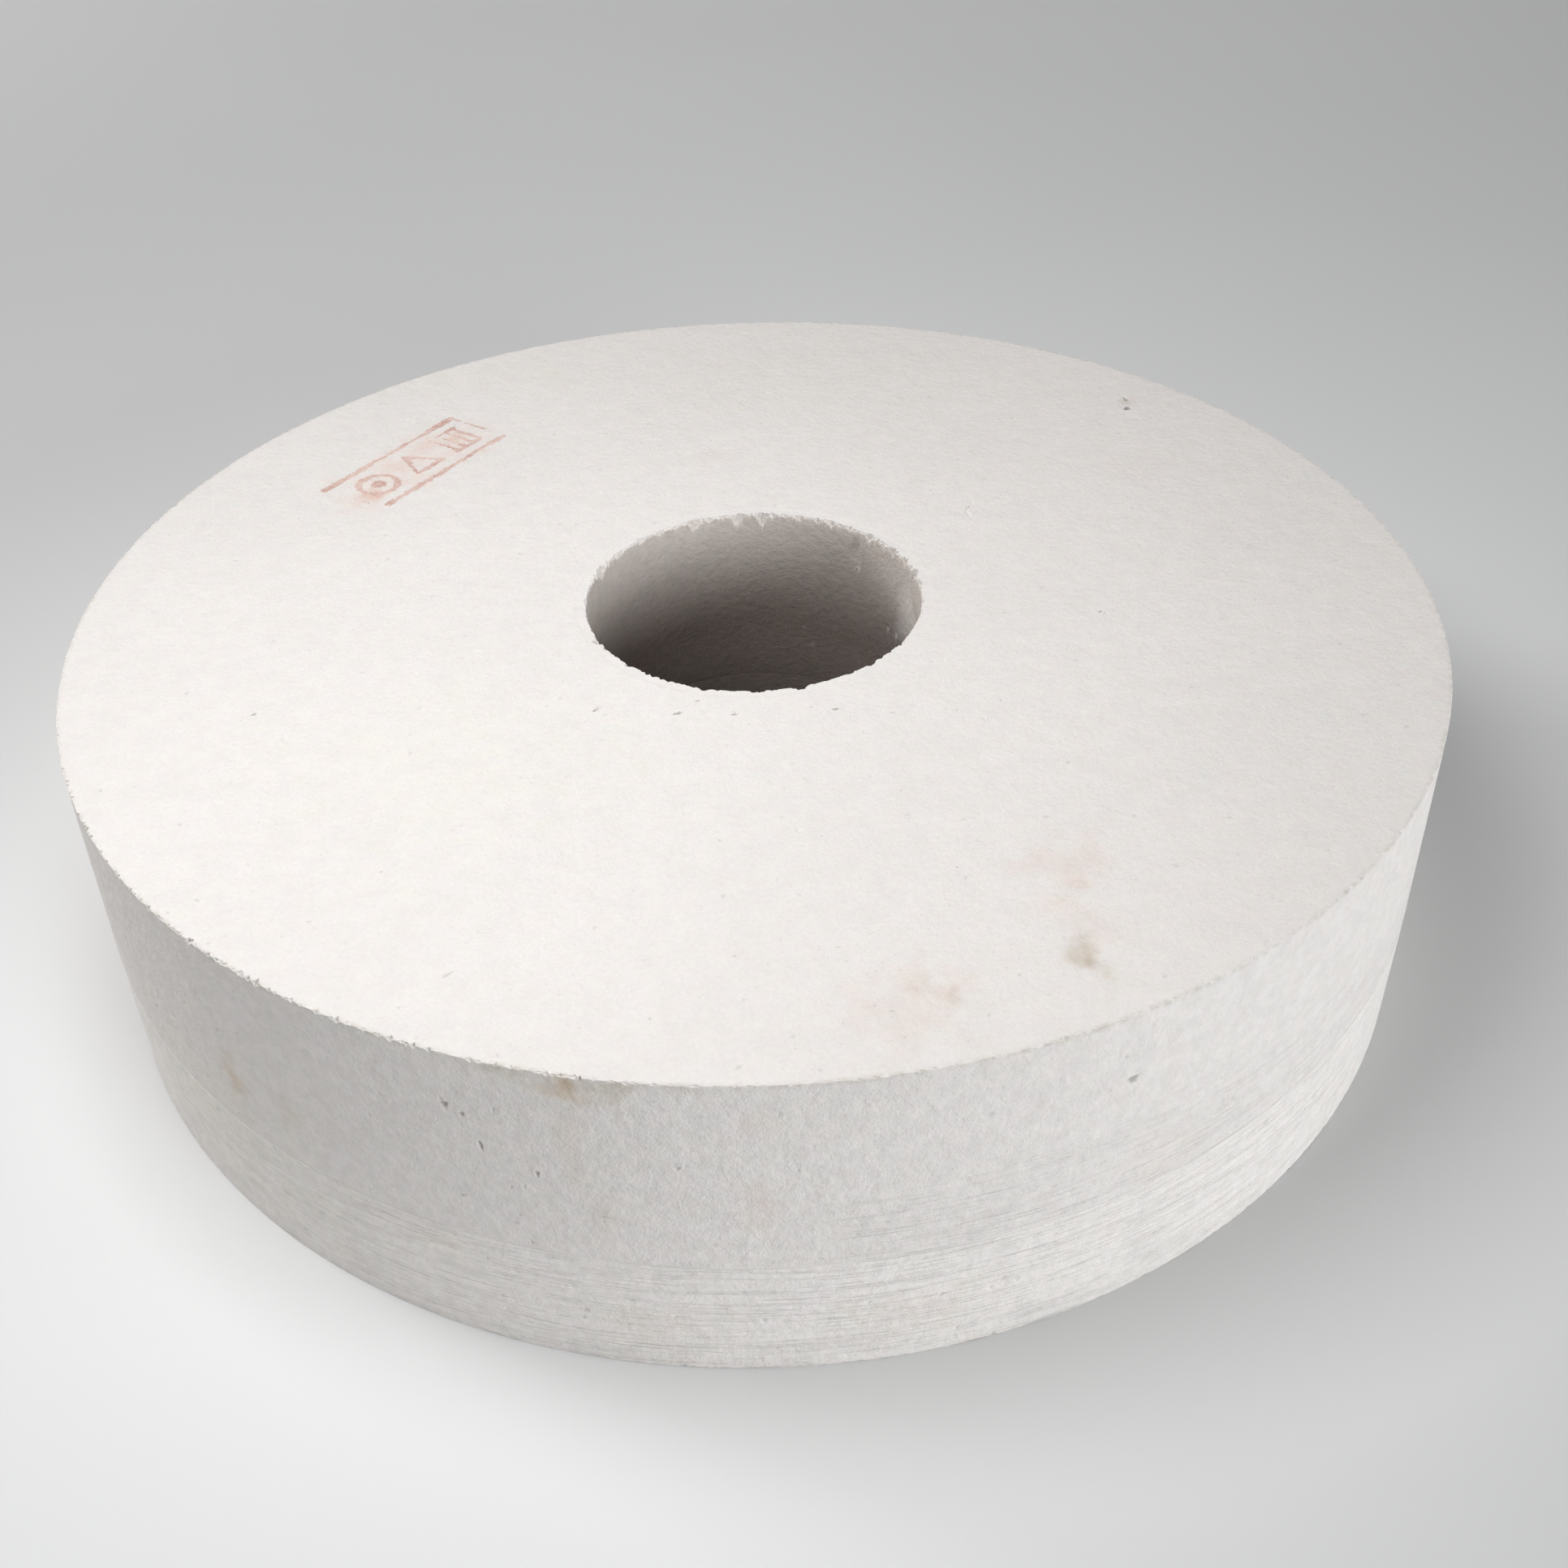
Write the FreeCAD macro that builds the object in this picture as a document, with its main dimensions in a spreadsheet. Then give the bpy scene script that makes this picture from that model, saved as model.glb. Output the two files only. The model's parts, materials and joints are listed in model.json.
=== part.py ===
import FreeCAD, Part

import os

import Sketcher

# Thick vitrified grinding wheel, plain ring form, made of two layers cemented together.
# Frame: the wheel lies flat on its working face, axis along +Z, glue face up.
# Origin: centre of the working face. All sizes are in millimetres.

DIMENSIONS = [
    # alias, value, what it is
    ("wheel_diameter", 300.0, "outside diameter above the seam"),
    ("bore_diameter", 75.0, "diameter of the through bore"),
    ("abrasive_thickness", 29.0, "lower layer, from the working face up"),
    ("cement_thickness", 0.5, "cement film between the layers"),
    ("backing_thickness", 45.5, "upper layer, up to the glue face"),
    ("side_taper", 0.5, "how much smaller the radius is at the working face than at the seam"),
    ("cement_recess", 0.2, "how far the cement stops short of the outside and of the bore wall"),
    ("arris_break", 0.6, "worn outer edge of the glue face and of the working face"),
    ("rim_break", 0.8, "worn edge at each end of the bore"),
]

# Sketch geometry index of the horizontal axis, whose start point is the origin.
ORIGIN_AXIS = -1
START_POINT = 1
END_POINT = 2


def make_sheet(doc):
    """The driving dimensions, one row each with its name, value and what it is."""
    sheet = doc.addObject("Spreadsheet::Sheet", "Dimensions")
    for row, (alias, value, description) in enumerate(DIMENSIONS, start=1):
        sheet.set(f"A{row}", alias)
        sheet.set(f"B{row}", str(value))
        sheet.set(f"C{row}", description)
        sheet.setAlias(f"B{row}", alias)
    doc.recompute()
    return sheet


def turned_ring(doc, name, corners, lift):
    """One ring, turned about Z from a closed outline in the XZ plane.

    corners lists the outline's corners as (radius, height) expressions; a height of None
    is a corner on the body's own base plane. lift is the height of that plane above the origin.
    """
    body = doc.addObject("PartDesign::Body", name)
    body.Label = name
    outline = body.newObject("Sketcher::SketchObject", f"{name}_outline")
    side_plane = next(f for f in body.Origin.OriginFeatures if f.Role == "XZ_Plane")
    outline.AttachmentSupport = [(side_plane, "")]
    outline.MapMode = "FlatFace"

    points = []
    for radius, height in corners:
        across = body.evalExpression(radius)
        up = 0.0 if height is None else body.evalExpression(height)
        points.append(FreeCAD.Vector(float(across), float(up), 0.0))
    for i, point in enumerate(points):
        outline.addGeometry(Part.LineSegment(point, points[(i + 1) % len(points)]), False)
    for i in range(len(points)):
        following = (i + 1) % len(points)
        outline.addConstraint(
            Sketcher.Constraint("Coincident", i, END_POINT, following, START_POINT))

    for i, (radius, height) in enumerate(corners):
        across = outline.addConstraint(Sketcher.Constraint(
            "DistanceX", ORIGIN_AXIS, START_POINT, i, START_POINT, points[i].x))
        outline.setExpression(f"Constraints[{across}]", radius)
        if height is None:
            outline.addConstraint(Sketcher.Constraint(
                "PointOnObject", i, START_POINT, ORIGIN_AXIS))
        else:
            up = outline.addConstraint(Sketcher.Constraint(
                "DistanceY", ORIGIN_AXIS, START_POINT, i, START_POINT, points[i].y))
            outline.setExpression(f"Constraints[{up}]", height)

    turn = body.newObject("PartDesign::Revolution", f"{name}_turn")
    turn.Profile = outline
    turn.ReferenceAxis = (outline, ["V_Axis"])
    turn.Angle = 360.0
    body.Tip = turn
    if lift is not None:
        body.setExpression("Placement.Base.z", lift)
    doc.recompute()
    return body


def make_abrasive_ring(doc):
    """Lower layer: its underside grinds, and its side tapers in slightly towards that face."""
    outer = "Dimensions.wheel_diameter / 2"
    foot = f"{outer} - Dimensions.side_taper"
    bore = "Dimensions.bore_diameter / 2"
    top = "Dimensions.abrasive_thickness"
    return turned_ring(doc, "abrasive_ring", [
        (f"{bore} + Dimensions.rim_break", None),
        (f"{foot} - Dimensions.arris_break", None),
        (foot, "Dimensions.arris_break"),
        (outer, top),
        (bore, top),
        (bore, "Dimensions.rim_break"),
    ], None)


def make_bond_line(doc):
    """Cement film between the layers, a little below the surface at both of its edges."""
    outer = "Dimensions.wheel_diameter / 2 - Dimensions.cement_recess"
    bore = "Dimensions.bore_diameter / 2 + Dimensions.cement_recess"
    top = "Dimensions.cement_thickness"
    return turned_ring(doc, "bond_line", [
        (bore, None),
        (outer, None),
        (outer, top),
        (bore, top),
    ], "Dimensions.abrasive_thickness")


def make_backing_ring(doc):
    """Upper layer: its top is the face that is glued to the machine's plate."""
    outer = "Dimensions.wheel_diameter / 2"
    bore = "Dimensions.bore_diameter / 2"
    top = "Dimensions.backing_thickness"
    return turned_ring(doc, "backing_ring", [
        (bore, None),
        (outer, None),
        (outer, f"{top} - Dimensions.arris_break"),
        (f"{outer} - Dimensions.arris_break", top),
        (f"{bore} + Dimensions.rim_break", top),
        (bore, f"{top} - Dimensions.rim_break"),
    ], "Dimensions.abrasive_thickness + Dimensions.cement_thickness")


def check_document(doc, rings):
    """Stop if any object failed to build, or any ring isn't one valid solid."""
    for item in doc.Objects:
        if "Invalid" in item.State or "Error" in item.State:
            raise RuntimeError(f"{item.Name} failed: {item.State}")
    for ring in rings:
        shape = ring.Shape
        if shape.isNull() or not shape.isValid() or len(shape.Solids) != 1:
            raise RuntimeError(f"{ring.Label} isn't one valid solid")


def main():
    doc = FreeCAD.newDocument("grinding_wheel")
    make_sheet(doc)
    rings = [make_abrasive_ring(doc), make_bond_line(doc), make_backing_ring(doc)]
    doc.recompute()
    check_document(doc, rings)

    os.makedirs("parts", exist_ok=True)
    for ring in rings:
        ring.Shape.exportStep(f"parts/{ring.Label}.step")
        box = ring.Shape.BoundBox
        print(f"{ring.Label}: z {box.ZMin:.2f} to {box.ZMax:.2f}, volume {ring.Shape.Volume / 1000:.1f} cm3")


main()
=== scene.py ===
"""A thick white grinding wheel lying on its working face, with worn edges, pits and a faded ink mark."""

import json
import math

import bmesh
import bpy
import numpy as np
from mathutils import Matrix, Vector


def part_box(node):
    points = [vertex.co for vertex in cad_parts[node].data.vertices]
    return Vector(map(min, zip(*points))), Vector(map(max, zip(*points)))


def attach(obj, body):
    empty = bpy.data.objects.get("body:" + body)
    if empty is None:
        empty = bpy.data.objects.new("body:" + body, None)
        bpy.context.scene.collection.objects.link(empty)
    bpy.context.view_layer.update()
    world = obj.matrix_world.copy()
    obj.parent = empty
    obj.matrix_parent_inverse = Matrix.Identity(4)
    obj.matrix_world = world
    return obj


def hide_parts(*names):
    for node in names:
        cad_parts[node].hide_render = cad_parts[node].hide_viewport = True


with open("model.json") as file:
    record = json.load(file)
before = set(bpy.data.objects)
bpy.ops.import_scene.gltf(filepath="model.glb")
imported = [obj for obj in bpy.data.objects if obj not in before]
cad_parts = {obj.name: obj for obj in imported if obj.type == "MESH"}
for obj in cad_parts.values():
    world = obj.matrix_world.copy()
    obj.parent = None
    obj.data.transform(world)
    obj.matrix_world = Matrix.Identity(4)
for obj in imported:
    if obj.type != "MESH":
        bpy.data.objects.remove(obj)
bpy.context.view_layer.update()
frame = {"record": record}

# ---------------------------------------------------------------- sizes, in millimetres unless said

MM = 0.001
TURN = 2 * math.pi


def node_box(name):
    """Lowest and highest corner of a CAD node, in millimetres."""
    low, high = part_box(name)
    return low / MM, high / MM


def bore_radius():
    """Radius of the bore, in millimetres, from the record's mount."""
    mounts = {mount["name"]: mount for mount in frame["record"]["mounts"]}
    return mounts["bore"]["dims"]["r_mm"]


backing_low, backing_high = node_box("backing_ring")
abrasive_low, abrasive_high = node_box("abrasive_ring")
OUTER = round(backing_high.x, 1)
BORE = bore_radius()
TOP = backing_high.z
SEAM_TOP = backing_low.z
SEAM_BOTTOM = abrasive_high.z
FOOT = abrasive_low.z

SIDE_TAPER = 0.5        # the lower layer narrows by this much towards the working face
SEAM_STEP = 0.03        # the upper layer stands back from the lower one by this much at the seam

FINE = 2880             # points round the outer edges
MEDIUM = 1440           # points round the bore's edges
COARSE = 720            # points round the walls
FLAT = 360              # points round the flat faces
JOINT_MIDDLE = 94       # radius of a row half way along the hidden joint faces

# ---------------------------------------------------------------- ring meshes


def loop(count, radius, height):
    """A closed row of points round the axis. radius and height are numbers or one number per point."""
    angle = np.arange(count) * TURN / count
    radius = np.broadcast_to(radius, count)
    height = np.broadcast_to(height, count)
    return np.column_stack([radius * np.cos(angle), radius * np.sin(angle), height])


def strip(first, count, next_first, next_count):
    """Faces between two closed rows of points, of equal counts or one twice the other."""
    if count == next_count:
        i = np.arange(count)
        j = (i + 1) % count
        return np.column_stack([first + i, first + j, next_first + j, next_first + i]).tolist()
    i = np.arange(min(count, next_count))
    j = (i + 1) % len(i)
    if next_count == 2 * count:
        a, c = first + i, first + j
        low, mid, high = next_first + 2 * i, next_first + 2 * i + 1, next_first + 2 * j
        triangles = (a, mid, low), (a, c, mid), (c, high, mid)
    else:
        b, d = next_first + i, next_first + j
        low, mid, high = first + 2 * i, first + 2 * i + 1, first + 2 * j
        triangles = (low, mid, b), (mid, d, b), (mid, high, d)
    return np.vstack([np.column_stack(corners) for corners in triangles]).tolist()


def ring_mesh(name, loops):
    """A closed ring from the loops round its section, each joined to the next and the last to the first."""
    starts = np.cumsum([0] + [len(points) for points in loops])
    faces = []
    for k, points in enumerate(loops):
        following = (k + 1) % len(loops)
        faces += strip(starts[k], len(points), starts[following], len(loops[following]))
    mesh = bpy.data.meshes.new(name)
    mesh.from_pydata(np.vstack(loops).tolist(), [], faces)
    return mesh


def wander(count, radius, pitch, seed):
    """A smooth closed row of values from 0 to 1 that changes about every pitch of the way round."""
    knots = max(4, round(TURN * radius / pitch))
    values = np.random.default_rng(seed).uniform(0, 1, knots)
    place = np.arange(count) * knots / count
    low = np.floor(place).astype(int)
    part = place - low
    part = part * part * (3 - 2 * part)
    return values[low % knots] * (1 - part) + values[(low + 1) % knots] * part


def chipped_edge(count, radius, pitch, face_size, wall_size, seed, named=(), least=(0.03, 0.03)):
    """How far an edge is broken back along its face and along its wall, all the way round.

    The whole edge is a little ragged, at least by least, and chips of random size lie about pitch apart.
    named adds others, each as (angle in degrees, half width, reach along the face, reach along the wall).
    """
    rng = np.random.default_rng(seed)
    angle = np.arange(count) * TURN / count
    number = round(TURN * radius / pitch)
    chips = []
    for i in range(number):
        size = rng.uniform(0.2, 1.0) ** 2
        centre = 360 * (i + rng.uniform(-0.45, 0.45)) / number
        half = pitch * rng.uniform(0.3, 0.6) * (0.5 + size)
        chips.append((centre, half, face_size * size, wall_size * size * rng.uniform(0.5, 1.5)))
    ragged = [wander(count, radius, grain, seed + k) for k, grain in enumerate((0.5, 1.1, 0.5, 1.1))]
    face = least[0] + 0.6 * face_size * ragged[0] * ragged[1]
    wall = least[1] + 0.6 * wall_size * ragged[2] * ragged[3]
    for degrees, half, along_face, along_wall in chips + list(named):
        away = np.abs((angle - math.radians(degrees) + math.pi) % TURN - math.pi) * radius / half
        shell = np.clip(1 - away ** 1.5, 0, 1)
        face = np.maximum(face, along_face * shell * (0.7 + 0.6 * ragged[0]))
        wall = np.maximum(wall, along_wall * shell * (0.7 + 0.6 * ragged[2]))
    return face, wall


def broken_edge(corner, face, wall, directions, steps, hollow, seed):
    """Loops across a broken edge, from its wall to its face.

    corner is (radius, height). directions gives the way along the face, as a change of radius,
    and along the wall, as a change of height. hollow is how much the break is dished.
    """
    rng = np.random.default_rng(seed)
    along_face, along_wall = directions
    loops = []
    for t in np.linspace(0, 1, steps):
        dish = hollow * np.minimum(face, wall) * 4 * t * (1 - t)
        crumb = 0.0 if t in (0, 1) else 0.4 * np.minimum(face, wall) * rng.uniform(-0.5, 0.5, len(face))
        radius = corner[0] + along_face * (face * t + dish + crumb)
        height = corner[1] + along_wall * (wall * (1 - t) + dish + crumb)
        loops.append(loop(len(face), radius, height))
    return loops


# ---------------------------------------------------------------- pits

FINEST_FACE = 0.6       # faces near a large pit are split down to this size, and near a small one further


def pit(at, inward, directions, length, width, turn, depth, dirt=1.0, corners=2):
    """A pit in a surface: its centre, the way in, two directions along the surface and its size.

    turn is from the first direction to its length. Its dust value is 1 where dust has settled in it and
    below 0 where it is lighter: freshly broken, and painted light on the wide bore patch. A higher corners
    makes it squarer.
    """
    turn = math.radians(turn)
    along = math.cos(turn) * directions[0] + math.sin(turn) * directions[1]
    across = math.cos(turn) * directions[1] - math.sin(turn) * directions[0]
    return {
        "at": at, "inward": inward, "axes": (along * (2 / length), across * (2 / width)),
        "reach": max(length, width) / 2, "fine": min(length / 4, width / 4, FINEST_FACE),
        "depth": depth, "dirt": dirt, "corners": corners,
    }


def on_top(x, y, *shape, **kind):
    """A pit in the glue face."""
    level = Vector((1, 0, 0)), Vector((0, 1, 0))
    return pit(Vector((x, y, TOP)), Vector((0, 0, -1)), level, *shape, **kind)


def on_wall(radius, way_in, degrees, below_top, *shape, **kind):
    """A pit in one of the round walls, below_top down it, its length turned from the level."""
    angle = math.radians(degrees)
    outward = Vector((math.cos(angle), math.sin(angle), 0))
    level = Vector((-math.sin(angle), math.cos(angle), 0))
    up = Vector((0, 0, 1))
    return pit(outward * radius + up * (TOP - below_top), way_in * outward, (level, up), *shape, **kind)


def on_side(*shape, **kind):
    """A pit in the outer side."""
    return on_wall(OUTER, -1, *shape, **kind)


def in_bore(*shape, **kind):
    """A pit in the wall of the bore."""
    return on_wall(BORE, 1, *shape, **kind)


def refine(mesh, pits):
    """Splits the faces near each pit until they are small enough to shape it."""
    for _ in range(6):
        count = len(mesh.polygons)
        centres = np.empty(count * 3, np.float32)
        areas = np.empty(count, np.float32)
        mesh.polygons.foreach_get("center", centres)
        mesh.polygons.foreach_get("area", areas)
        centres = centres.reshape(-1, 3)
        sizes = np.sqrt(areas)
        wanted = np.zeros(count, bool)
        for one in pits:
            gap = np.linalg.norm(centres - np.array(one["at"]), axis=1)
            wanted |= (gap < one["reach"] * 1.15 + 0.8 * sizes) & (sizes > one["fine"])
        if not wanted.any():
            return
        shape = bmesh.new()
        shape.from_mesh(mesh)
        shape.faces.ensure_lookup_table()
        edges = {edge for i in np.flatnonzero(wanted) for edge in shape.faces[i].edges}
        bmesh.ops.subdivide_edges(shape, edges=list(edges), cuts=1, use_grid_fill=True)
        shape.to_mesh(mesh)
        shape.free()


def vertex_array(mesh):
    """The places of a mesh's vertices, one row each."""
    points = np.empty(len(mesh.vertices) * 3, np.float32)
    mesh.vertices.foreach_get("co", points)
    return points.reshape(-1, 3).astype(float)


def sink(mesh, pits, seed):
    """Presses each pit into the mesh and returns how dusty each vertex is, and below 0 how much paler it is
    where freshly broken and where painted light lies on the wide bore patch.
    """
    rng = np.random.default_rng(seed)
    points = vertex_array(mesh)
    moved = points.copy()
    dirt = np.zeros(len(points))
    for one in pits:
        near = np.flatnonzero(np.linalg.norm(points - np.array(one["at"]), axis=1) < one["reach"] * 1.5)
        offset = points[near] - np.array(one["at"])
        u = offset @ np.array(one["axes"][0])
        v = offset @ np.array(one["axes"][1])
        phase = rng.uniform(0, TURN, 2)
        bearing = np.arctan2(v, u)
        ragged = 1 + 0.16 * np.sin(3 * bearing + phase[0]) + 0.1 * np.sin(5 * bearing + phase[1])
        away = np.abs(u * ragged) ** one["corners"] + np.abs(v * ragged) ** one["corners"]
        bowl = np.clip(1 - away, 0, 1)
        moved[near] += np.outer(one["depth"] * bowl ** 0.75, np.array(one["inward"]))
        dirt[near] = np.where(bowl > 0, one["dirt"] * np.sqrt(bowl), dirt[near])
    mesh.vertices.foreach_set("co", moved.ravel())
    return dirt


# ---------------------------------------------------------------- bake maps

MAP_GAP = 1.6           # space between the parts of a bake map
HIDDEN_SCALE = 0.06     # the hidden joint faces take next to no room on a bake map


def bake_map(mesh, canvas, disc, outer, inner, low, shown):
    """A UV map for the baked textures, laid out in millimetres on a square canvas.

    The flat face that shows is a disc (x, y, scale). The outer and inner walls are level strips
    (x, y, upright, start, end), cut at fractions of a turn. low is the height of the walls' foot, and
    shown says whether a face at a given height belongs to the disc. Hidden flat faces are a small disc.
    """
    count = len(mesh.polygons)
    points = np.empty(len(mesh.vertices) * 3, np.float32)
    corner_vertex = np.empty(len(mesh.loops), np.int32)
    totals = np.empty(count, np.int32)
    centres = np.empty(count * 3, np.float32)
    normals = np.empty(count * 3, np.float32)
    mesh.vertices.foreach_get("co", points)
    mesh.loops.foreach_get("vertex_index", corner_vertex)
    mesh.polygons.foreach_get("loop_total", totals)
    mesh.polygons.foreach_get("center", centres)
    mesh.polygons.foreach_get("normal", normals)
    owner = np.repeat(np.arange(count), totals)
    corner = points.reshape(-1, 3)[corner_vertex]
    centre = centres.reshape(-1, 3)[owner]
    normal = normals.reshape(-1, 3)[owner]

    heading = np.arctan2(centre[:, 1], centre[:, 0]) % TURN
    around = np.arctan2(corner[:, 1], corner[:, 0])
    around = heading + (around - heading + math.pi) % TURN - math.pi
    flat = np.abs(normal[:, 2]) > 0.75
    outside = np.hypot(centre[:, 0], centre[:, 1]) > (OUTER + BORE) / 2
    place = corner[:, :2] * HIDDEN_SCALE + canvas - HIDDEN_SCALE * OUTER - MAP_GAP
    on_disc = flat & shown(centre[:, 2])
    place[on_disc] = corner[on_disc, :2] * disc[2] + disc[:2]
    for strips, here, radius in ((outer, outside, OUTER), (inner, ~outside, BORE)):
        for x, y, upright, start, end in strips:
            inside = here & ~flat & (heading / TURN >= start) & (heading / TURN < end)
            run = (around[inside] - start * TURN) * radius
            rise = corner[inside, 2] - low
            place[inside] = np.column_stack([x + rise, y + run] if upright else [x + run, y + rise])
    layer = mesh.uv_layers.new(name="OFBake")
    layer.data.foreach_set("uv", (place / canvas).astype(np.float32).ravel())


def backing_map(mesh):
    """The glue face at full size, with the walls along two sides of it."""
    canvas = 402
    disc = OUTER + MAP_GAP
    row = 2 * disc
    step = TOP - SEAM_TOP + MAP_GAP
    outer = [(MAP_GAP, row, False, 0, 0.422), (MAP_GAP, row + step, False, 0.422, 0.844),
             (row, MAP_GAP, True, 0.844, 1)]
    inner = [(row + step, MAP_GAP, True, 0, 1)]
    bake_map(mesh, canvas, (disc, disc, 1), outer, inner, SEAM_TOP, lambda z: z > (TOP + SEAM_TOP) / 2)


def abrasive_map(mesh):
    """The side at full size in four rows, with the working face smaller below them."""
    canvas = 300
    scale = 0.55
    disc = OUTER * scale + MAP_GAP
    row = 2 * disc
    step = SEAM_BOTTOM - FOOT + MAP_GAP
    cuts = (0, 0.314, 0.628, 0.942, 1)
    outer = [(MAP_GAP, row + k * step, False, cuts[k], cuts[k + 1]) for k in range(4)]
    inner = [(62, row + 3 * step, False, 0, 1)]
    bake_map(mesh, canvas, (disc, disc, scale), outer, inner, FOOT, lambda z: z < SEAM_BOTTOM / 2)


def cement_map(mesh):
    """Three rows for the film's outer edge and one for its edge in the bore."""
    canvas = 320
    outer = [(MAP_GAP, MAP_GAP + 5 * k, False, k / 3, (k + 1) / 3) for k in range(3)]
    inner = [(MAP_GAP, MAP_GAP + 15, False, 0, 1)]
    bake_map(mesh, canvas, (0, 0, 1), outer, inner, SEAM_BOTTOM, lambda z: z < FOOT)


# ---------------------------------------------------------------- the pieces


def backing_mesh():
    """The upper layer: chipped rim at the bore, worn outer edge, pits in the face and the side."""
    rim_face, rim_wall = chipped_edge(MEDIUM, BORE, 1.6, 0.9, 1.7, 11, BIG_RIM_CHIPS, (0.12, 0.5))
    edge_face, edge_wall = chipped_edge(FINE, OUTER, 1.5, 0.42, 0.42, 21, BIG_EDGE_CHIPS + rough_stretch())
    loops = [loop(FLAT, JOINT_MIDDLE, SEAM_TOP)]
    loops.append(loop(COARSE, OUTER - 1.2, SEAM_TOP))
    worn = 0.02 + 0.09 * wander(MEDIUM, OUTER, 3, 31) ** 2
    side = OUTER - SEAM_STEP
    loops.append(loop(MEDIUM, side - worn, SEAM_TOP))
    loops.append(loop(MEDIUM, side, SEAM_TOP + worn))
    for height in np.linspace(SEAM_TOP + 1.2, TOP - 5, 12):
        loops.append(loop(COARSE, side + SEAM_STEP * (height - SEAM_TOP) / (TOP - 5 - SEAM_TOP), height))
    loops.append(loop(MEDIUM, OUTER, TOP - 3.4))
    lowest = TOP - 2.6
    for part in (0, 0.5, 0.8):
        loops.append(loop(FINE, OUTER, lowest + part * (TOP - edge_wall - lowest)))
    loops += broken_edge((OUTER, TOP), edge_face, edge_wall, (-1, -1), 4, 0.1, 41)
    inner = OUTER - 2.8
    for part in (0.25, 0.6, 1):
        loops.append(loop(FINE, OUTER - edge_face + part * (inner - OUTER + edge_face), TOP))
    loops.append(loop(MEDIUM, OUTER - 4, TOP))
    loops.append(loop(COARSE, OUTER - 6, TOP))
    for radius in np.linspace(OUTER - 9, BORE + 8.5, 24):
        loops.append(loop(FLAT, radius, TOP))
    loops.append(loop(COARSE, BORE + 6.2, TOP))
    for part in (1, 0.7, 0.4, 0.15):
        loops.append(loop(MEDIUM, BORE + rim_face + part * (4.8 - rim_face), TOP))
    loops += broken_edge((BORE, TOP), rim_face, rim_wall, (1, -1), 6, 0.12, 51)[::-1]
    for part in (0.15, 0.4, 0.7, 1):
        loops.append(loop(MEDIUM, BORE, TOP - rim_wall - part * (12 - rim_wall)))
    for height in np.linspace(TOP - 14, SEAM_TOP + 1, 10):
        loops.append(loop(COARSE, BORE, height))
    loops.append(loop(COARSE, BORE + 0.02, SEAM_TOP))
    loops.append(loop(FLAT, BORE + 3, SEAM_TOP))
    return ring_mesh("backing_ring_ceramic", loops)


def abrasive_mesh():
    """The lower layer: turned grooves round its side and a crumbly lower edge."""
    foot_face, foot_wall = chipped_edge(FINE, OUTER, 1.5, 0.4, 0.5, 61)
    rim_face, rim_wall = chipped_edge(MEDIUM, BORE, 2.0, 0.6, 1.0, 71)
    lip = 0.02 + 0.06 * wander(MEDIUM, OUTER, 3, 81) ** 2
    side = OUTER - SIDE_TAPER
    taper = SIDE_TAPER / (SEAM_BOTTOM - FOOT)
    loops = [loop(MEDIUM, BORE + rim_face + part * (4 - rim_face), FOOT) for part in (0.3, 1)]
    loops.append(loop(COARSE, BORE + 6, FOOT))
    for radius in np.linspace(BORE + 9, OUTER - 9, 22):
        loops.append(loop(FLAT, radius, FOOT))
    loops.append(loop(COARSE, OUTER - 6, FOOT))
    loops.append(loop(MEDIUM, OUTER - 4, FOOT))
    loops.append(loop(FINE, OUTER - 2.6, FOOT))
    loops += broken_edge((side, FOOT), foot_face, foot_wall, (-1, 1), 4, 0.2, 91)[::-1]
    loops.append(loop(FINE, side + taper * 1.9, FOOT + 1.9))
    loops.append(loop(MEDIUM, side + taper * 2.2, FOOT + 2.2))
    loops += turned_side(side, taper)
    loops.append(loop(MEDIUM, OUTER, SEAM_BOTTOM - lip))
    loops.append(loop(MEDIUM, OUTER - lip, SEAM_BOTTOM))
    loops.append(loop(COARSE, OUTER - 1.2, SEAM_BOTTOM))
    loops.append(loop(FLAT, JOINT_MIDDLE, SEAM_BOTTOM))
    loops.append(loop(FLAT, BORE + 3, SEAM_BOTTOM))
    loops.append(loop(COARSE, BORE + 0.02, SEAM_BOTTOM))
    for height in np.linspace(SEAM_BOTTOM - 1, FOOT + 5, 7):
        loops.append(loop(COARSE, BORE, height))
    loops.append(loop(MEDIUM, BORE, FOOT + 3.5))
    loops += broken_edge((BORE, FOOT), rim_face, rim_wall, (1, 1), 4, 0.3, 95)
    return ring_mesh("abrasive_ring_ceramic", loops)


def turned_side(side, taper):
    """Loops up the lower layer's side, with shallow grooves that come and go, deepest at the front."""
    rng = np.random.default_rng(101)
    turn = np.arange(COARSE) * TURN / COARSE
    facing = 0.3 + 0.7 * np.clip(np.cos(turn + math.radians(85)), 0, 1) ** 2
    loops = []
    height = FOOT + 2.9
    while height < SEAM_BOTTOM - 1.0:
        half = rng.uniform(0.12, 0.28)
        deepest = rng.uniform(0.02, 0.075)
        depth = deepest * facing * wander(COARSE, OUTER, 30, rng.integers(1000)) ** 1.5
        for up, cut in ((-half, 0), (0, depth), (half, 0)):
            loops.append(loop(COARSE, side + taper * (height + up) - cut, height + up))
        height += 2 * half + rng.choice((0.35, 0.8, 1.4, 2.2))
    return loops


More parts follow.
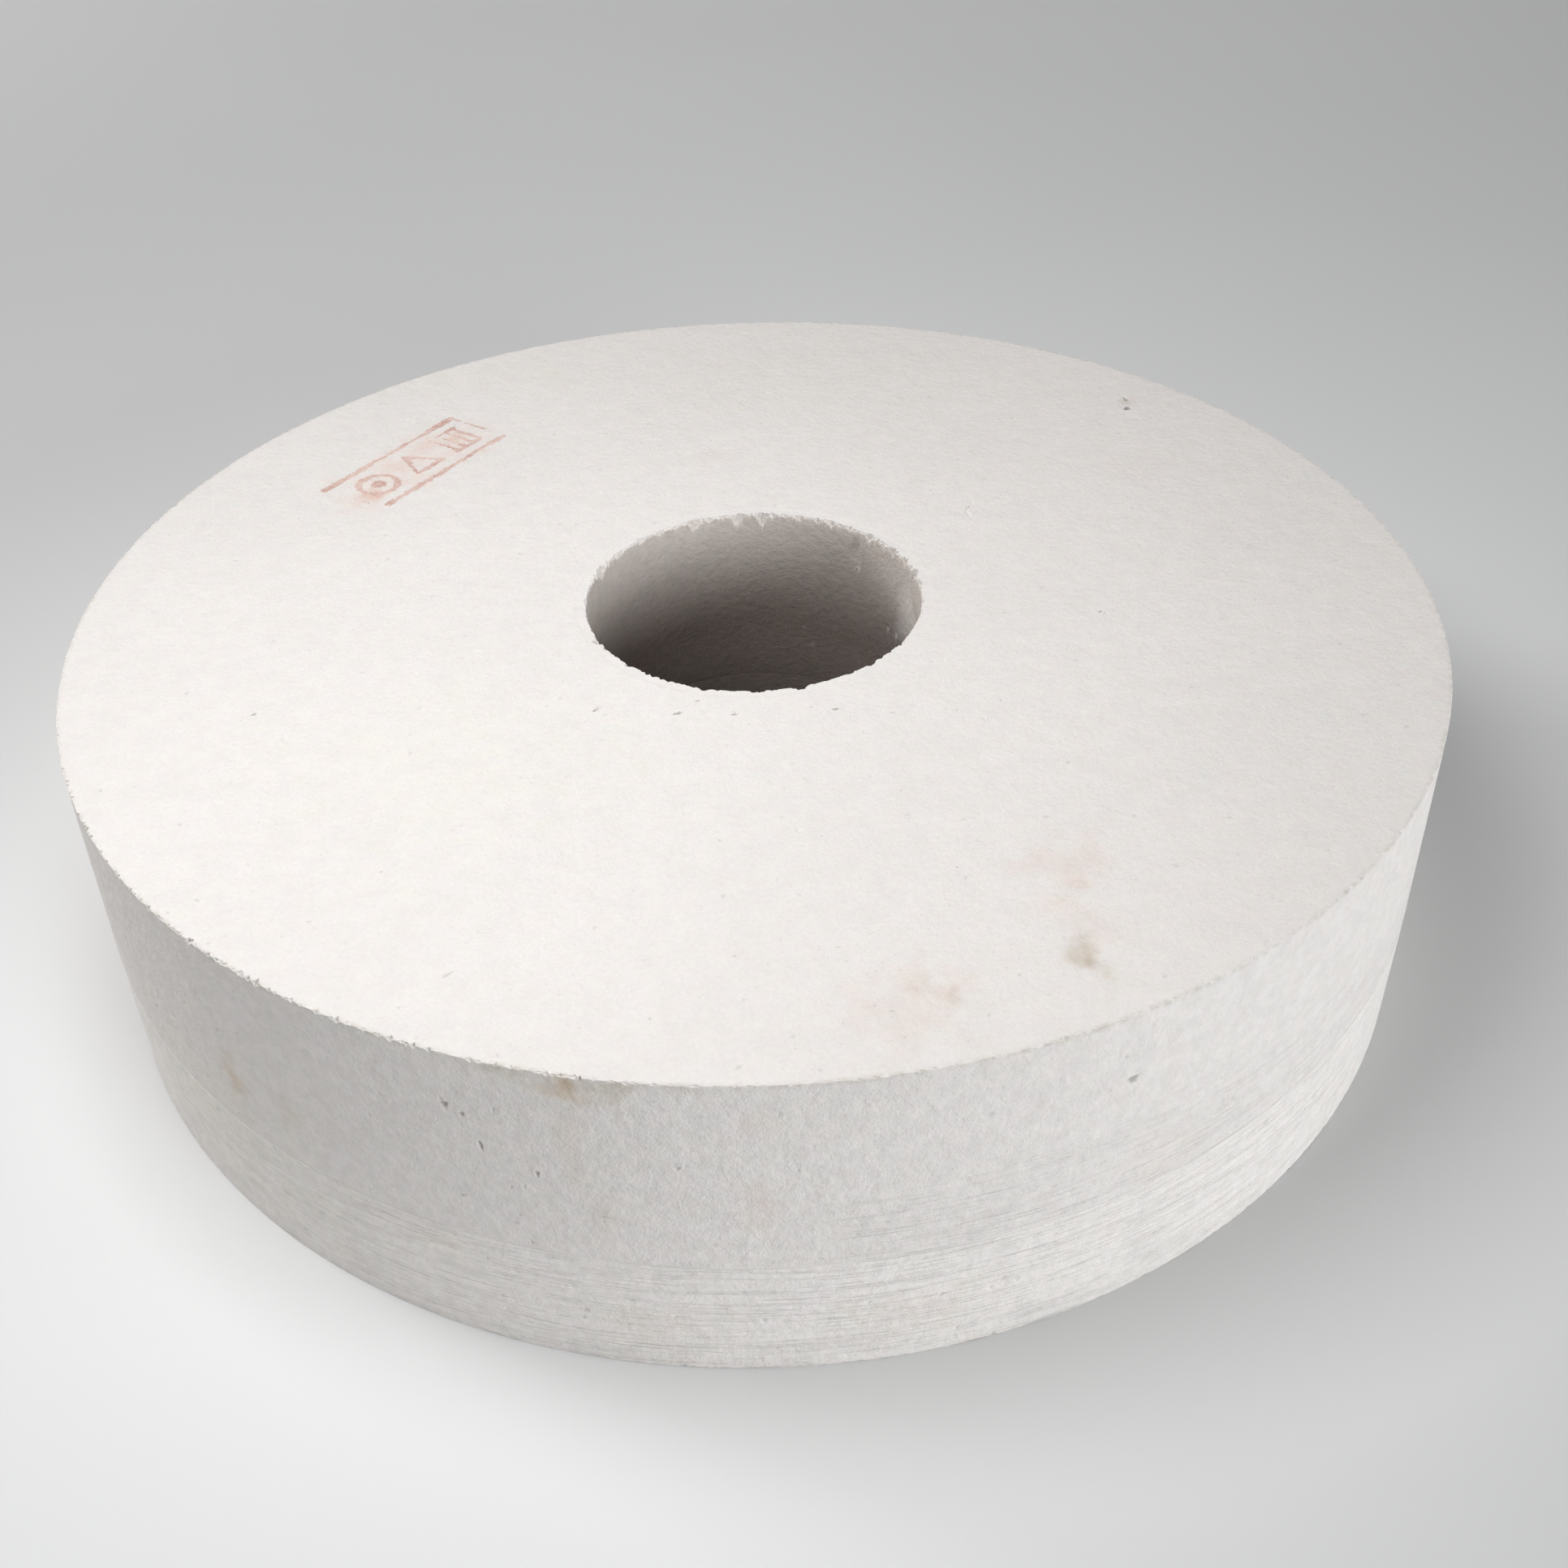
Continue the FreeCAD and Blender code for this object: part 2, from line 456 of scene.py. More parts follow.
def cement_mesh():
    """The film between the layers, whose edge lies a little below the surface all round."""
    back = SEAM_STEP + 0.01 + 0.08 * wander(MEDIUM, OUTER, 14, 111) ** 2
    inside = 0.03 + 0.03 * wander(COARSE, BORE, 6, 112)
    middle = (SEAM_TOP + SEAM_BOTTOM) / 2
    return ring_mesh("cement_line", [
        loop(FLAT, JOINT_MIDDLE, SEAM_BOTTOM),
        loop(COARSE, OUTER - 1.0, SEAM_BOTTOM),
        loop(MEDIUM, OUTER - back - 0.02, SEAM_BOTTOM),
        loop(MEDIUM, OUTER - back, middle),
        loop(MEDIUM, OUTER - back - 0.02, SEAM_TOP),
        loop(COARSE, OUTER - 1.0, SEAM_TOP),
        loop(FLAT, JOINT_MIDDLE, SEAM_TOP),
        loop(FLAT, BORE + 3, SEAM_TOP),
        loop(COARSE, BORE + inside, SEAM_TOP),
        loop(COARSE, BORE + inside, SEAM_BOTTOM),
        loop(FLAT, BORE + 3, SEAM_BOTTOM),
    ])


# Chips that stand out, as (degrees, half width, reach along the face, reach down the wall).
BIG_RIM_CHIPS = [
    (158, 2.8, 1.1, 3.0), (147, 1.6, 0.7, 1.4), (134, 1.4, 0.5, 1.5), (111, 2.2, 0.8, 3.2),
    (95, 2.2, 0.8, 3.4), (86, 2.2, 0.9, 3.2), (72, 1.2, 0.6, 1.7), (60, 1.6, 0.8, 1.8),
    (52, 1.2, 0.8, 1.5), (43, 1.6, 1.0, 2.4), (36, 1.2, 0.8, 1.7), (30, 1.5, 1.1, 2.5),
    (22, 1.4, 1.0, 2.2), (13, 1.8, 1.2, 2.6), (5, 1.2, 1.0, 1.9), (-34, 1.5, 1.3, 1.2),
    (-76, 1.9, 1.6, 1.4), (-107, 1.8, 1.3, 1.2), (-136, 1.2, 0.9, 1.0), (-154, 1.6, 2.0, 1.4),
]
BIG_EDGE_CHIPS = [
    (-146, 0.7, 0.8, 1.0), (-138, 0.6, 0.7, 1.3), (-133, 0.7, 0.8, 1.2), (-126, 0.8, 1.0, 0.9),
    (-119, 0.7, 0.8, 1.0), (-112, 0.6, 0.7, 0.8), (-99, 0.7, 0.6, 0.8), (-71, 0.8, 0.8, 0.9),
    (-63, 0.6, 0.9, 0.7), (-56, 0.8, 0.9, 0.9), (-50.5, 1.0, 1.1, 1.0), (-46, 0.7, 0.9, 0.8),
    (65, 0.9, 0.9, 0.8), (160, 0.8, 1.0, 0.9), (20, 0.8, 0.9, 0.8),
]


def rough_stretch():
    """Many small chips along the front left of the outer edge."""
    rng = np.random.default_rng(25)
    return [(rng.uniform(-156, -101), rng.uniform(0.3, 0.7), rng.uniform(0.3, 0.95), rng.uniform(0.3, 0.9))
            for _ in range(75)]


# Pits and marks that stand out, each (place, length, width, turn, depth). Light scratches have their dust
# value below 0, and so has the wide bore patch, whose paler colour is painted light.
BIG_TOP_PITS = [
    on_top(-16.4, -44.6, 2.4, 1.0, 12, 0.4), on_top(16, -45, 1.9, 0.8, 8, 0.3),
    on_top(-4.8, -45.8, 1.6, 0.7, 5, 0.25), on_top(-12.5, -40.4, 1.6, 0.6, -8, 0.2),
    on_top(-33.6, -42.8, 1.0, 0.8, 0, 0.2), on_top(2.2, -52, 1.6, 0.6, 20, 0.15, dirt=0.5),
    on_top(27.5, -46.9, 1.6, 0.7, 5, 0.15, dirt=0.6), on_top(99.3, 87.7, 2.1, 1.8, 80, 0.6, dirt=2.0),
    on_top(99.8, 93.0, 2.8, 1.1, 110, 0.3, dirt=1.1), on_top(76, -11, 1.6, 0.9, 40, 0.25, dirt=0.7),
    on_top(-55, -121, 2.8, 1.0, 35, 0.2, dirt=0.5), on_top(-104, -40, 1.6, 0.8, 30, 0.2),
    on_top(-57.5, -23, 5.0, 0.8, 70, 0.16, dirt=-1.0), on_top(-60, -19, 2.4, 0.7, 20, 0.12, dirt=-1.0),
    on_top(52.6, 38.2, 5.5, 1.0, 62, 0.25, dirt=-1.0), on_top(51.7, 34.7, 3.2, 1.0, 100, 0.22, dirt=-1.0),
]
BIG_SIDE_PITS = [
    on_side(-65.5, 15.8, 2.4, 2.1, 0, 0.35), on_side(-111.6, 12.6, 1.8, 1.9, 0, 0.3),
    on_side(-110.4, 14, 1.2, 1.4, 0, 0.25), on_side(-109.4, 21, 0.9, 3.0, 8, 0.35),
    on_side(-105.6, 25.3, 0.9, 2.0, 0, 0.2), on_side(-101.3, 34, 3.0, 0.6, -4, 0.1, dirt=0.6),
    on_side(-111.4, 35.5, 2.0, 0.8, 25, 0.15, dirt=0.7), on_side(-129, 60, 2.6, 1.4, 15, 0.2, dirt=0.5),
    on_side(-125, 59, 1.8, 1.1, 0, 0.2, dirt=0.5), on_side(-103.5, 61, 1.6, 1.3, 30, 0.2, dirt=0.5),
    on_side(-97, 60, 1.5, 1.0, 0, 0.2, dirt=0.5), on_side(-91, 60.5, 1.4, 1.5, 60, 0.2, dirt=0.5),
    on_side(-74, 58.5, 2.0, 1.2, 20, 0.25, dirt=0.6), on_side(-73, 59.6, 1.3, 1.2, 0, 0.2, dirt=0.6),
    on_side(-75, 60.2, 1.1, 0.9, 0, 0.2, dirt=0.5), on_side(-43.5, 58, 1.8, 1.2, 0, 0.2, dirt=0.4),
    on_side(-109.5, 66, 2.0, 1.4, 0, 0.2, dirt=0.4), on_side(-118, 22, 1.6, 1.2, 0, 0.15, dirt=0.4),
    on_side(-80, 47.5, 1.2, 1.2, 0, 0.15, dirt=0.4), on_side(-70, 44.5, 2.2, 0.7, 5, 0.15, dirt=0.4),
    on_side(30, 24, 2.0, 1.6, 20, 0.3), on_side(75, 33, 1.6, 1.3, 0, 0.25),
    on_side(120, 18, 2.4, 1.2, 40, 0.3), on_side(165, 38, 1.8, 1.4, 0, 0.25),
    on_side(100, 60, 2.2, 1.2, 0, 0.2), on_side(45, 62, 1.6, 1.1, 10, 0.2),
]
BORE_MARKS = [
    in_bore(49, 6.6, 3.6, 7.6, 0, 0.45, dirt=-0.45), in_bore(47.5, 10.2, 1.4, 1.0, 0, 0.2, dirt=-1.0),
    # The wide paler patch at 18 degrees is painted light from the left on the bore wall; its shallow hollow
    # is shape.
    in_bore(18, 14.5, 15, 18, 0, 0.3, dirt=-0.7), in_bore(32, 22.4, 1.4, 1.6, 30, 0.3, dirt=-1.0),
    in_bore(27, 22.8, 1.2, 1.8, 20, 0.3, dirt=-1.0), in_bore(80, 3.6, 0.7, 0.6, 0, 0.1, dirt=-1.0),
    in_bore(116, 5.7, 0.7, 0.6, 0, 0.1, dirt=-1.0), in_bore(71, 31, 1.6, 1.0, 0, 0.1, dirt=-0.5),
    in_bore(68, 36, 2.6, 1.8, 20, 0.1, dirt=-0.4), in_bore(-60, 12, 6, 9, 0, 0.3, dirt=-0.5, corners=4),
    in_bore(-130, 24, 3, 2, 0, 0.2, dirt=-0.5),
]


def scattered_pits(count, seed):
    """Small pits at random: count on the glue face, twice that on the side, and count at its front left."""
    rng = np.random.default_rng(seed)
    pits = []
    for _ in range(count):
        angle = rng.uniform(0, TURN)
        radius = math.sqrt(rng.uniform((BORE + 5) ** 2, (OUTER - 4) ** 2))
        x = radius * math.cos(angle)
        y = radius * math.sin(angle)
        length = rng.uniform(0.5, 1.3)
        width = length * rng.uniform(0.5, 1)
        turn = rng.uniform(0, 180)
        depth = length * rng.uniform(0.06, 0.16)
        pits.append(on_top(x, y, length, width, turn, depth, dirt=rng.uniform(0.1, 0.7)))
    for _ in range(2 * count):
        length = rng.uniform(0.5, 1.5)
        place = rng.uniform(0, 360), rng.uniform(4, TOP - 4)
        width = length * rng.uniform(0.5, 1)
        turn = rng.uniform(-30, 30)
        depth = length * rng.uniform(0.08, 0.2)
        pits.append(on_side(*place, length, width, turn, depth, dirt=rng.uniform(0.1, 0.6)))
    for _ in range(count):
        length = rng.uniform(0.5, 1.1)
        place = rng.uniform(-160, -100), rng.uniform(6, TOP - 4)
        width = length * rng.uniform(0.5, 1.8)
        turn = rng.uniform(-30, 30)
        depth = length * rng.uniform(0.1, 0.25)
        pits.append(on_side(*place, length, width, turn, depth, dirt=rng.uniform(0.2, 0.7)))
    return pits


def wear(mesh, pits, seed):
    """Cuts the pits into a mesh and keeps in an attribute how dusty each vertex is, and how much paler it is
    where freshly broken and where painted light is laid.

    Where the bore's rims are broken back from their corners the ceramic is freshly broken and paler.
    """
    refine(mesh, pits)
    points = vertex_array(mesh)
    gap = np.minimum(np.abs(points[:, 2] - TOP), np.abs(points[:, 2] - FOOT))
    off_wall = np.hypot(points[:, 0], points[:, 1]) - BORE
    dirt = sink(mesh, pits, seed)
    dirt[(off_wall > 0.04) & (off_wall < 3) & (gap > 0.04) & (gap < 4)] = -0.85
    mesh.attributes.new(name="pit_dirt", type="FLOAT", domain="POINT").data.foreach_set("value", dirt)


def smooth(mesh, degrees):
    """Smooth shading, with edges that turn by more than degrees left sharp."""
    mesh.shade_smooth()
    mesh.set_sharp_from_angle(angle=math.radians(degrees))


def add_piece(mesh, material, node):
    """Puts a finished mesh, made in millimetres, into the scene, in place of a CAD node if one is given."""
    mesh.transform(Matrix.Scale(MM, 4))
    mesh.materials.append(material)
    piece = bpy.data.objects.new(mesh.name, mesh)
    bpy.context.scene.collection.objects.link(piece)
    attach(piece, "root")
    if node:
        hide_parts(node)
    return piece


# ---------------------------------------------------------------- the ink mark

MARK_AT = (-84, 70)     # its centre on the glue face
MARK_TURN = 54.5        # degrees from +X to its long side
MARK_LENGTH = 48
MARK_WIDTH = 20
INK_CELL = 0.2
INK_THICKNESS = 0.03
INK_ROOT = 0.05         # how far the film reaches down into the ceramic


def bar(u, v, start, end, width):
    """Distance inside a straight stroke from start to end; more than 0 is ink."""
    (u0, v0), (u1, v1) = start, end
    length = math.hypot(u1 - u0, v1 - v0)
    along = np.clip(((u - u0) * (u1 - u0) + (v - v0) * (v1 - v0)) / length ** 2, 0, 1)
    return width / 2 - np.hypot(u - u0 - along * (u1 - u0), v - v0 - along * (v1 - v0))


def ink_shape(u, v):
    """Distance inside the mark: a worn frame round a ring, a wedge and a hatched square."""
    half = MARK_LENGTH / 2
    edge = MARK_WIDTH / 2 - 0.9
    strokes = [
        bar(u, v, (-half + 1, edge), (half - 1, edge), 2.3),
        bar(u, v, (-half + 4, -edge), (half - 1.2, -edge), 2.2),
        bar(u, v, (half - 0.9, edge), (half - 0.9, -edge), 1.2),
        bar(u, v, (-half + 1.2, 2), (-half + 1.6, -5), 0.8),
        1.1 - np.abs(np.hypot(u + 14, v) - 4.8),
        2.3 - np.hypot(u + 14, v),
    ]
    for start, end in (((-4.5, -4.5), (0, 4.5)), ((0, 4.5), (4.5, -4.5)), ((4.5, -4.5), (-4.5, -4.5))):
        strokes.append(bar(u, v, start, end, 1.8))
    for across in np.arange(-4, 4.1, 2.67):
        strokes.append(bar(u, v, (14.5 + across, -5), (14.5 + across, 5), 1.7))
    for up in (-5, 5):
        strokes.append(bar(u, v, (10, up), (19, up), 1.8))
    return np.max(strokes, axis=0)


def value_noise(u, v, pitch, seed):
    """Smooth values from 0 to 1 over the plane, changing about every pitch."""
    rng = np.random.default_rng(seed)
    size = 64
    grid = rng.uniform(0, 1, (size, size))
    a, b = u / pitch + size / 2, v / pitch + size / 2
    i, j = np.floor(a).astype(int), np.floor(b).astype(int)
    s, t = a - i, b - j
    s, t = s * s * (3 - 2 * s), t * t * (3 - 2 * t)
    i, j = i % size, j % size
    k, m = (i + 1) % size, (j + 1) % size
    return (grid[i, j] * (1 - s) + grid[k, j] * s) * (1 - t) + (grid[i, m] * (1 - s) + grid[k, m] * s) * t


def filled_corners(ink):
    """Fills cells until no two touch only at a corner, so that the film is a closed solid."""
    while True:
        a, b, c, d = ink[:-1, :-1], ink[1:, :-1], ink[:-1, 1:], ink[1:, 1:]
        touching = (a & d & ~b & ~c) | (b & c & ~a & ~d)
        if not touching.any():
            return ink
        ink[:-1, :-1] |= touching
        ink[1:, :-1] |= touching


def ink_mesh():
    """The mark as a very thin film, only where ink is left on the grains."""
    columns = round((MARK_LENGTH + 4) / INK_CELL)
    rows = round((MARK_WIDTH + 4) / INK_CELL)
    u = (np.arange(columns) - columns / 2 + 0.5)[:, None] * INK_CELL
    v = (np.arange(rows) - rows / 2 + 0.5)[None, :] * INK_CELL
    u, v = np.broadcast_arrays(u, v)
    worn = value_noise(u, v, 5, 121) + 0.8 * value_noise(u, v, 1.1, 122) + 0.6 * value_noise(u, v, 0.4, 123)
    ink = ink_shape(u, v) + 0.5 > 0.75 * worn
    ink[[0, -1], :] = False
    ink[:, [0, -1]] = False
    ink = filled_corners(ink)

    shape = bmesh.new()
    corners = {}

    def corner(i, j, height):
        if (i, j, height) not in corners:
            spot = ((i - columns / 2) * INK_CELL, (j - rows / 2) * INK_CELL, height)
            corners[i, j, height] = shape.verts.new(spot)
        return corners[i, j, height]

    for i, j in zip(*np.nonzero(ink)):
        ring = ((i, j), (i + 1, j), (i + 1, j + 1), (i, j + 1))
        shape.faces.new([corner(*spot, INK_THICKNESS) for spot in ring])
        shape.faces.new([corner(*spot, -INK_ROOT) for spot in ring[::-1]])
        beyond = ((i, j - 1), (i + 1, j), (i, j + 1), (i - 1, j))
        for side, (start, end) in zip(beyond, zip(ring, ring[1:] + ring[:1])):
            if not ink[side]:
                shape.faces.new([corner(*start, -INK_ROOT), corner(*end, -INK_ROOT),
                                 corner(*end, INK_THICKNESS), corner(*start, INK_THICKNESS)])
    mesh = bpy.data.meshes.new("ink_mark")
    shape.to_mesh(mesh)
    shape.free()
    place = Matrix.Translation((*MARK_AT, TOP)) @ Matrix.Rotation(math.radians(MARK_TURN), 4, "Z")
    mesh.transform(place)
    return mesh


# ---------------------------------------------------------------- materials


class Nodes:
    """Short ways to add shader nodes to one material."""

    def __init__(self, name):
        self.material = bpy.data.materials.new(name)
        self.material.use_nodes = True
        self.tree = self.material.node_tree
        self.tree.nodes.clear()
        self.place = self.add("ShaderNodeTexCoord").outputs["Object"]

    def add(self, kind, inputs=(), **settings):
        """A node with its inputs set to values or linked to sockets."""
        node = self.tree.nodes.new(kind)
        for name, value in settings.items():
            setattr(node, name, value)
        for name, value in dict(inputs).items():
            if isinstance(value, bpy.types.NodeSocket):
                self.tree.links.new(value, node.inputs[name])
            else:
                node.inputs[name].default_value = value
        return node

    def math(self, operation, a, b=0.0, c=0.0):
        """The result of a sum on numbers or sockets."""
        return self.add("ShaderNodeMath", {0: a, 1: b, 2: c}, operation=operation).outputs[0]

    def stretched(self, x, y, z):
        """The place on the wheel, scaled along each axis."""
        return self.add("ShaderNodeMapping", {"Vector": self.place, "Scale": (x, y, z)}).outputs[0]

    def noise(self, scale, detail=2.0, place=None):
        """Smooth noise, mostly from 0.3 to 0.7, with about scale lumps to a metre."""
        inputs = {"Vector": place or self.place, "Scale": scale, "Detail": detail}
        return self.add("ShaderNodeTexNoise", inputs).outputs["Fac"]

    def between(self, value, low, high, start=0.0, end=1.0):
        """A smooth step from start to end as value goes from low to high."""
        inputs = {"Value": value, "From Min": low, "From Max": high, "To Min": start, "To Max": end}
        return self.add("ShaderNodeMapRange", inputs, interpolation_type="SMOOTHSTEP").outputs[0]

    def mix(self, factor, a, b, blend="MIX"):
        """Two colours mixed."""
        node = self.add("ShaderNodeMix", data_type="RGBA", blend_type=blend)
        for index, value in ((0, factor), (6, a), (7, b)):
            if isinstance(value, bpy.types.NodeSocket):
                self.tree.links.new(value, node.inputs[index])
            else:
                node.inputs[index].default_value = value
        return node.outputs[2]

    def finish(self, color, roughness, height, distance, specular):
        """Joins everything to the shader. A height of 1 stands for distance, in metres."""
        bump = self.add("ShaderNodeBump", {"Height": height, "Distance": distance, "Strength": 1.0})
        shader = self.add("ShaderNodeBsdfPrincipled", {
            "Base Color": color, "Roughness": roughness, "Specular IOR Level": specular,
            "Normal": bump.outputs[0]})
        out = self.add("ShaderNodeOutputMaterial")
        self.tree.links.new(shader.outputs[0], out.inputs["Surface"])
        return self.material


def grey(value):
    """A neutral colour."""
    return (value, value, value, 1)


def tinted(nodes, color, tint):
    """A colour times another."""
    return nodes.mix(1.0, color, tint, "MULTIPLY")


def height_of(nodes):
    """Height above the floor, in metres."""
    return nodes.add("ShaderNodeSeparateXYZ", {0: nodes.place}).outputs["Z"]


def dimmed(nodes, color, shade):
    """A colour times a grey value that varies."""
    tone = nodes.add("ShaderNodeCombineColor", {0: shade, 1: shade, 2: shade}).outputs[0]
    return tinted(nodes, color, tone)


def ceramic_color(nodes, base, wall):
    """Near-white ceramic: faint tints, fine grain, and soft grey specks. wall is 1 on the round walls."""
    warm, cool = (1.0, 0.991, 0.980, 1), (0.991, 0.991, 0.997, 1)
    pink, green = (1.0, 0.986, 0.997, 1), (0.992, 1.0, 0.991, 1)
    color = tinted(nodes, base, nodes.mix(nodes.between(nodes.noise(230, 5), 0.35, 0.65), warm, cool))
    color = tinted(nodes, color, nodes.mix(nodes.between(nodes.noise(330, 5), 0.35, 0.65), pink, green))
    cloud = nodes.between(nodes.noise(17, 3), 0.35, 0.65, 1.0, 0.982)
    grain = nodes.between(nodes.noise(1500, 3), 0.25, 0.75, 0.972, 1.02)
    shade = nodes.math("MULTIPLY", cloud, grain)
    blotch = nodes.between(nodes.noise(160, 5), 0.35, 0.65, 1.0, 0.976)
    pebble = nodes.between(nodes.noise(380, 4), 0.3, 0.7, 1.02, 0.955)
    pebble = nodes.math("MULTIPLY_ADD", nodes.math("SUBTRACT", pebble, 1.0), wall, 1.0)
    shade = nodes.math("MULTIPLY", shade, nodes.math("MULTIPLY", blotch, pebble))
    for scale, reach, dark in ((330, 0.15, 0.08), (150, 0.10, 0.15)):
        cells = nodes.add("ShaderNodeTexVoronoi", {"Vector": nodes.place, "Scale": scale}).outputs["Distance"]
        ragged = nodes.math("ADD", cells, nodes.between(nodes.noise(1400, 2), 0.3, 0.7, -0.04, 0.04))
        speck = nodes.between(ragged, 0.1 * reach, reach, 1.0 - dark, 1.0)
        shade = nodes.math("MULTIPLY", shade, speck)
    return dimmed(nodes, color, shade)


def stained(nodes, color, stains):
    """Darkens a colour with soft stains, each ((x, y, z), (half sizes), (r, g, b), strength)."""
    ragged = nodes.between(nodes.noise(170, 5), 0.2, 0.8, -0.6, 0.6)
    blotch = nodes.between(nodes.noise(420, 4), 0.3, 0.7, 0.6, 1.0)
    for (x, y, z), sizes, tint, strength in stains:
        mapping = nodes.add("ShaderNodeMapping", {
            "Vector": nodes.place,
            "Scale": [1 / (MM * size) for size in sizes],
            "Location": [-at / size for at, size in zip((x, y, z), sizes)]})
        away = nodes.add("ShaderNodeVectorMath", {0: mapping.outputs[0]}, operation="LENGTH").outputs["Value"]
        edge = nodes.between(nodes.math("ADD", away, ragged), 1.35, 0.1)
        mask = nodes.math("MULTIPLY", nodes.math("MULTIPLY", edge, blotch), strength)
        color = nodes.mix(mask, color, tinted(nodes, color, (*tint, 1)))
    return color


def marked(nodes, color, strength):
    """Grey dust in the pits, a paler surface in freshly broken marks, and painted light on the wide bore
    patch, by the pits' attribute.
    """
    dirt = nodes.add("ShaderNodeAttribute", attribute_name="pit_dirt").outputs["Fac"]
    dusty = nodes.math("MULTIPLY", nodes.between(dirt, 0.1, 1.3), strength)
    color = nodes.mix(dusty, color, DUST)
    # Paler where freshly broken, and painted light on the wide bore patch.
    fresh_and_painted_light = nodes.math("MULTIPLY", nodes.between(dirt, -0.1, -1.0), 0.55)
    return nodes.mix(fresh_and_painted_light, color, FRESH_AND_PAINTED_LIGHT)


def from_axis(nodes):
    """Distance from the axis of the wheel, in metres."""
    flattened = nodes.stretched(1, 1, 0)
    return nodes.add("ShaderNodeVectorMath", {0: flattened}, operation="LENGTH").outputs["Value"]


def bore_painted_shade(nodes, color):
    """Painted shade in the bore: its wall is painted a duller, browner grey, more so away from the glue face.
    """
    height = height_of(nodes)
    painted_shade = nodes.mix(nodes.between(height, (TOP - 2) * MM, (TOP - 32) * MM), BORE_RIM_SHADE, BORE_DEEP_SHADE)
    painted_shade = nodes.mix(nodes.between(height, (TOP - 34) * MM, (TOP - 52) * MM), painted_shade, BORE_FOOT_SHADE)
    inside = nodes.between(from_axis(nodes), (BORE + 3) * MM, (BORE + 2) * MM)
    below = nodes.between(height, (TOP - 0.05) * MM, (TOP - 0.6) * MM)
    return nodes.mix(nodes.math("MULTIPLY", inside, below), color, tinted(nodes, color, painted_shade))


def arris_painted_shade(nodes, color):
    """Painted shade where the outer top edge is broken, in some places more than in others."""
    beside = nodes.between(from_axis(nodes), (OUTER - 1.1) * MM, (OUTER - 0.3) * MM)
    above = nodes.between(height_of(nodes), (TOP - 1.4) * MM, (TOP - 0.3) * MM)
    near = nodes.math("MULTIPLY", beside, above)
    fine = nodes.between(nodes.noise(600, 4), 0.35, 0.65)
    broad = nodes.between(nodes.noise(40, 2), 0.35, 0.6, 0.45, 1.0)
    mask = nodes.math("MULTIPLY", near, nodes.math("MULTIPLY", fine, broad))
    return nodes.mix(mask, color, tinted(nodes, color, ARRIS_SHADE))


def ceramic_height(nodes, wall, lines):
    """Height for the bump: open grain everywhere, pebbly on the outer side, and level lines."""
    outside = nodes.between(from_axis(nodes), (BORE + 2) * MM, (BORE + 3) * MM, 0.3, 1.0)
    grain = nodes.math("MULTIPLY", nodes.noise(2300, 2), 0.5)
    coarse = nodes.math("MULTIPLY", nodes.noise(700, 3), nodes.math("MULTIPLY_ADD", wall, 0.25, 0.85))
    pebbles = nodes.math("MULTIPLY", nodes.noise(260, 3), nodes.math("MULTIPLY_ADD", wall, 0.6, 1.1))
    pebbles = nodes.math("MULTIPLY", pebbles, outside)
    height = nodes.math("ADD", nodes.math("ADD", grain, coarse), pebbles)
    return nodes.math("ADD", height, lines)


def wall_mask(nodes):
    """1 on the walls and 0 on the flat faces."""
    normal = nodes.add("ShaderNodeTexCoord").outputs["Normal"]
    up = nodes.add("ShaderNodeSeparateXYZ", {0: normal}).outputs["Z"]
    return nodes.between(nodes.math("ABSOLUTE", up), 0.7, 0.2)


def turned_lines(nodes, fine):
    """Level lines left by the dressing tool, as a height below 0 in thin cuts, deepest at the front."""
    broad = nodes.between(nodes.noise(1, 2, nodes.stretched(35, 35, 1100)), 0.52, 0.75)
    narrow = nodes.between(nodes.noise(1, 2, nodes.stretched(70, 70, fine)), 0.5, 0.72)
    forward = nodes.add("ShaderNodeSeparateXYZ", {0: nodes.place}).outputs["Y"]
    cut = nodes.between(forward, 0.0, -0.12, -0.35, -1.0)
    return nodes.math("MULTIPLY", nodes.math("ADD", broad, narrow), cut)


def side_point(degrees, below_top):
    """A point on the outer side, in millimetres."""
    angle = math.radians(degrees)
    return (OUTER * math.cos(angle), OUTER * math.sin(angle), TOP - below_top)


# Tints that stains multiply the ceramic by.
BROWN = (0.86, 0.78, 0.67)
UMBER = (0.80, 0.755, 0.68)
RUST = (0.86, 0.75, 0.63)
PINK = (0.965, 0.90, 0.87)
HALO = (1.0, 0.935, 0.912)
INK_BLOT = (0.92, 0.74, 0.66)


def under_mark(along, across=0):
    """A point under the ink mark, along and across it from its centre, in millimetres."""
    turn = math.radians(MARK_TURN)
    return (MARK_AT[0] + along * math.cos(turn) - across * math.sin(turn),
            MARK_AT[1] + along * math.sin(turn) + across * math.cos(turn), TOP)


